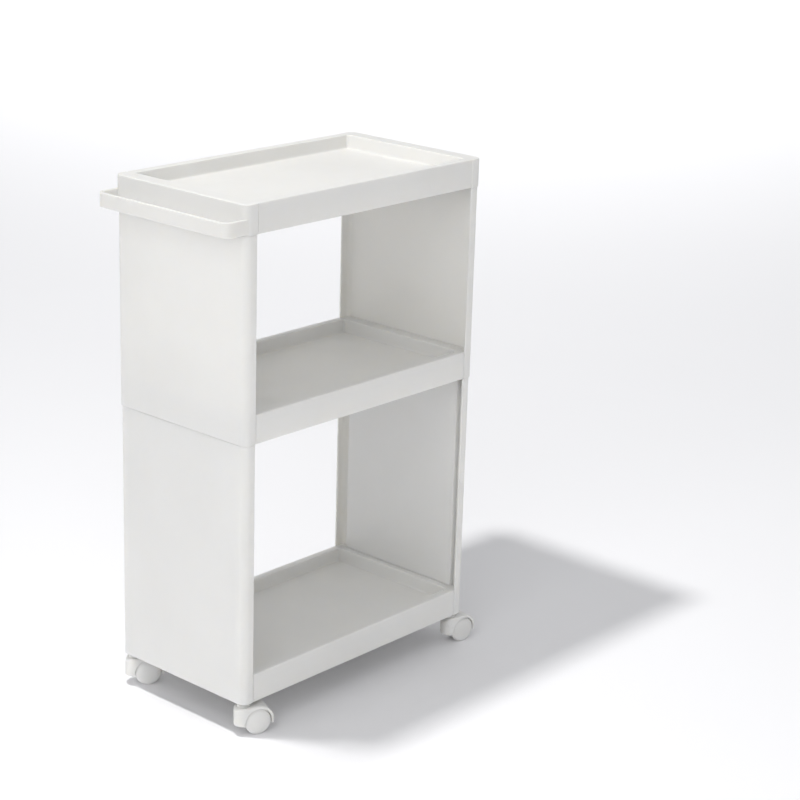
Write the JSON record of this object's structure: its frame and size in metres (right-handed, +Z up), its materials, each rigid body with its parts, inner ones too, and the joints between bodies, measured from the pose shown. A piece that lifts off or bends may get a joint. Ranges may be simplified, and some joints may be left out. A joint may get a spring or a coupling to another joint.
{
  "type": "rolling utility cart",
  "caption": "Slim rolling utility cart: shallow open trays between solid end panels, a flat U-shaped towel bar on one end, and swivelling twin-wheel casters.",
  "frame": {"origin": "on the floor under the middle of the whole object's box, with the casters as they stand at rest", "axes": "+Z up, X along the cart's long side with the towel bar at the -X end, Y across it between the two open sides"},
  "size_m": [0.4917, 0.2608, 0.7],
  "materials": {
    "white_plastic": "satin moulded white",
    "caster_plastic": "smooth translucent off-white",
    "socket_plastic": "satin moulded white",
    "zinc_steel": "bright zinc plated"
  },
  "bodies": {
    "cart_body": {"top_tray": "white_plastic", "mid_shelf": "white_plastic", "bottom_shelf": "white_plastic", "handle_end_upper_panel": "white_plastic", "handle_end_lower_panel": "white_plastic", "far_end_upper_panel": "white_plastic", "far_end_lower_panel": "white_plastic", "rear_right_caster_socket": "socket_plastic", "rear_left_caster_socket": "socket_plastic", "front_right_caster_socket": "socket_plastic", "front_left_caster_socket": "socket_plastic"},
    "rear_right_caster": {"rear_right_caster_stem": "zinc_steel", "rear_right_caster_ring": "zinc_steel", "rear_right_caster_hood": "caster_plastic", "rear_right_caster_axle": "zinc_steel"},
    "rear_right_wheel_left": {"rear_right_caster_wheel_left": "caster_plastic"},
    "rear_right_wheel_right": {"rear_right_caster_wheel_right": "caster_plastic"},
    "rear_left_caster": {"rear_left_caster_stem": "zinc_steel", "rear_left_caster_ring": "zinc_steel", "rear_left_caster_hood": "caster_plastic", "rear_left_caster_axle": "zinc_steel"},
    "rear_left_wheel_left": {"rear_left_caster_wheel_left": "caster_plastic"},
    "rear_left_wheel_right": {"rear_left_caster_wheel_right": "caster_plastic"},
    "front_right_caster": {"front_right_caster_stem": "zinc_steel", "front_right_caster_ring": "zinc_steel", "front_right_caster_hood": "caster_plastic", "front_right_caster_axle": "zinc_steel"},
    "front_right_wheel_left": {"front_right_caster_wheel_left": "caster_plastic"},
    "front_right_wheel_right": {"front_right_caster_wheel_right": "caster_plastic"},
    "front_left_caster": {"front_left_caster_stem": "zinc_steel", "front_left_caster_ring": "zinc_steel", "front_left_caster_hood": "caster_plastic", "front_left_caster_axle": "zinc_steel"},
    "front_left_wheel_left": {"front_left_caster_wheel_left": "caster_plastic"},
    "front_left_wheel_right": {"front_left_caster_wheel_right": "caster_plastic"}
  },
  "joints": [
    {"name": "rear_right_swivel", "type": "hinge", "parent": "cart_body", "child": "rear_right_caster", "pos_m": [-0.19995, -0.105, 0.045], "axis": [0, 0, 1], "continuous": true},
    {"name": "rear_right_wheel_left_spin", "type": "hinge", "parent": "rear_right_caster", "child": "rear_right_wheel_left", "pos_m": [-0.18511, -0.11099, 0.0175], "axis": [0.3746, 0.9272, 0], "continuous": true},
    {"name": "rear_right_wheel_right_spin", "type": "hinge", "parent": "rear_right_caster", "child": "rear_right_wheel_right", "pos_m": [-0.18511, -0.11099, 0.0175], "axis": [0.3746, 0.9272, 0], "continuous": true},
    {"name": "rear_left_swivel", "type": "hinge", "parent": "cart_body", "child": "rear_left_caster", "pos_m": [-0.19995, 0.105, 0.045], "axis": [0, 0, 1], "continuous": true},
    {"name": "rear_left_wheel_left_spin", "type": "hinge", "parent": "rear_left_caster", "child": "rear_left_wheel_left", "pos_m": [-0.18638, 0.09652, 0.0175], "axis": [0.5299, 0.848, 0], "continuous": true},
    {"name": "rear_left_wheel_right_spin", "type": "hinge", "parent": "rear_left_caster", "child": "rear_left_wheel_right", "pos_m": [-0.18638, 0.09652, 0.0175], "axis": [0.5299, 0.848, 0], "continuous": true},
    {"name": "front_right_swivel", "type": "hinge", "parent": "cart_body", "child": "front_right_caster", "pos_m": [0.20605, -0.105, 0.045], "axis": [0, 0, 1], "continuous": true},
    {"name": "front_right_wheel_left_spin", "type": "hinge", "parent": "front_right_caster", "child": "front_right_wheel_left", "pos_m": [0.22181, -0.10778, 0.0175], "axis": [0.1736, 0.9848, 0], "continuous": true},
    {"name": "front_right_wheel_right_spin", "type": "hinge", "parent": "front_right_caster", "child": "front_right_wheel_right", "pos_m": [0.22181, -0.10778, 0.0175], "axis": [0.1736, 0.9848, 0], "continuous": true},
    {"name": "front_left_swivel", "type": "hinge", "parent": "cart_body", "child": "front_left_caster", "pos_m": [0.20605, 0.105, 0.045], "axis": [0, 0, 1], "continuous": true},
    {"name": "front_left_wheel_left_spin", "type": "hinge", "parent": "front_left_caster", "child": "front_left_wheel_left", "pos_m": [0.22089, 0.11099, 0.0175], "axis": [-0.3746, 0.9272, 0], "continuous": true},
    {"name": "front_left_wheel_right_spin", "type": "hinge", "parent": "front_left_caster", "child": "front_left_wheel_right", "pos_m": [0.22089, 0.11099, 0.0175], "axis": [-0.3746, 0.9272, 0], "continuous": true}
  ]
}
